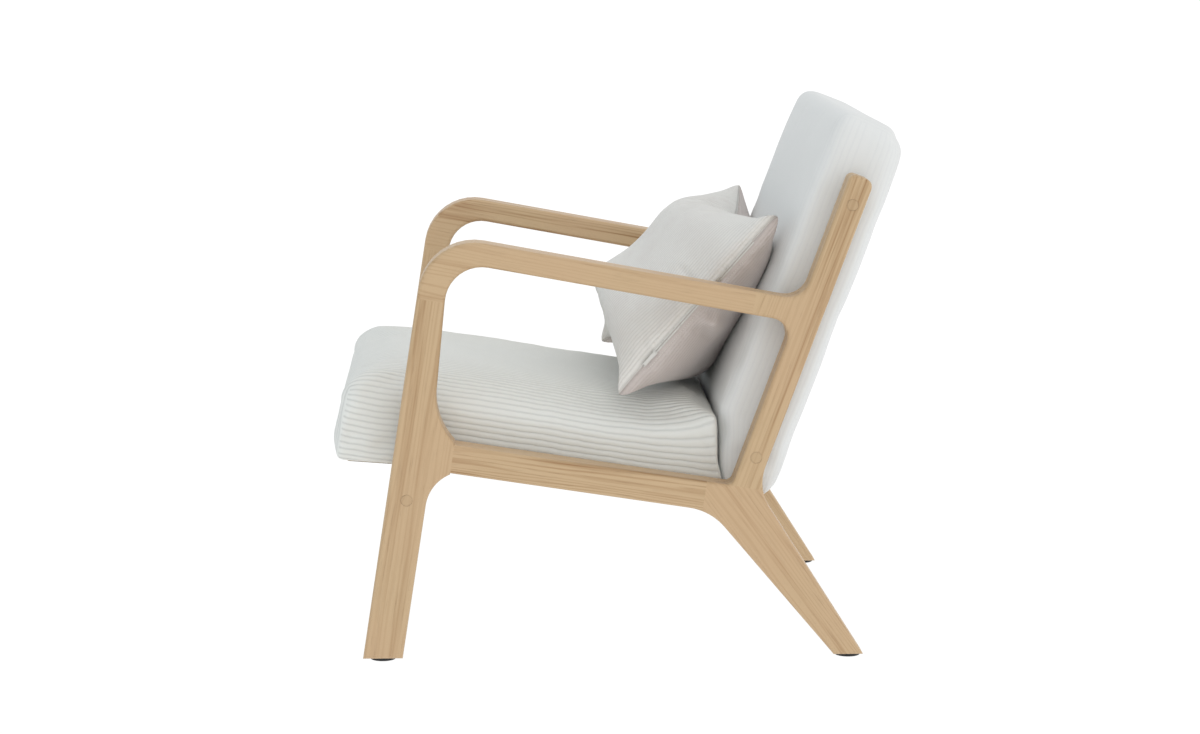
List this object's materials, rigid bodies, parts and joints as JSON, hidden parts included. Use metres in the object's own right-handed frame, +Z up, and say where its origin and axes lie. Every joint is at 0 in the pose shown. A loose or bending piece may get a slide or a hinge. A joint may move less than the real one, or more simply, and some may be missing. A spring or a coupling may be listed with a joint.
{
  "type": "armchair",
  "caption": "Low wooden lounge armchair with two open side frames, curved armrests, an upholstered seat and reclined back, and a loose zipped lumbar pillow.",
  "frame": {"origin": "on the floor, in the middle of the chair's bounding box", "axes": "+Z up; the sitter faces -Y; +X is the sitter's left side"},
  "size_m": [0.65, 0.7828, 0.7581],
  "materials": {
    "frame_wood": "satin",
    "inner_wood": "matte",
    "dowel_wood": "matte",
    "zinc_steel": "satin",
    "spring_steel": "satin",
    "brass": "satin",
    "glide_plastic": "matte",
    "foam": "matte",
    "corduroy": "matte",
    "dust_cloth": "matte",
    "elastic_web": "matte",
    "zip_metal": "satin",
    "fibre": "matte"
  },
  "bodies": {
    "chair": {"front_leg_left": "frame_wood", "front_leg_right": "frame_wood", "armrest_left": "frame_wood", "armrest_right": "frame_wood", "back_post_left": "frame_wood", "back_post_right": "frame_wood", "seat_rail_left": "frame_wood", "seat_rail_right": "frame_wood", "rear_leg_left": "frame_wood", "rear_leg_right": "frame_wood", "frame_dowels_left": "dowel_wood", "frame_dowels_right": "dowel_wood", "front_cross_rail": "frame_wood", "rear_cross_rail": "frame_wood", "cross_rail_dowels": "dowel_wood", "side_bolts": "zinc_steel", "bolt_washers": "zinc_steel", "threaded_inserts": "brass", "wood_plugs": "dowel_wood", "foot_glide_front_left": "glide_plastic", "foot_glide_front_right": "glide_plastic", "foot_glide_rear_left": "glide_plastic", "foot_glide_rear_right": "glide_plastic", "glide_nails": "zinc_steel", "seat_frame_front": "inner_wood", "seat_frame_rear": "inner_wood", "seat_frame_left": "inner_wood", "seat_frame_right": "inner_wood", "seat_springs": "spring_steel", "spring_clips": "zinc_steel", "seat_foam": "foam", "seat_cover": "corduroy", "seat_dust_cover": "dust_cloth", "seat_brackets": "zinc_steel", "seat_screws": "zinc_steel", "back_stile_left": "inner_wood", "back_stile_right": "inner_wood", "back_frame_top": "inner_wood", "back_frame_bottom": "inner_wood", "back_webbing": "elastic_web", "back_foam": "foam", "back_cover": "corduroy"},
    "pillow": {"pillow_cover": "corduroy", "pillow_filling": "fibre", "pillow_zip_tape": "corduroy", "pillow_zip_teeth": "zip_metal"},
    "zip_slider": {"pillow_zip_slider": "zip_metal"}
  },
  "joints": [
    {"name": "pillow_lift", "type": "slide", "parent": "chair", "child": "pillow", "axis": [0, 0, 1], "range_m": [0, 0.45]},
    {"name": "zip_slide", "type": "slide", "parent": "pillow", "child": "zip_slider", "axis": [0, 0.66, 0.7513], "range_m": [0, 0.2]}
  ]
}
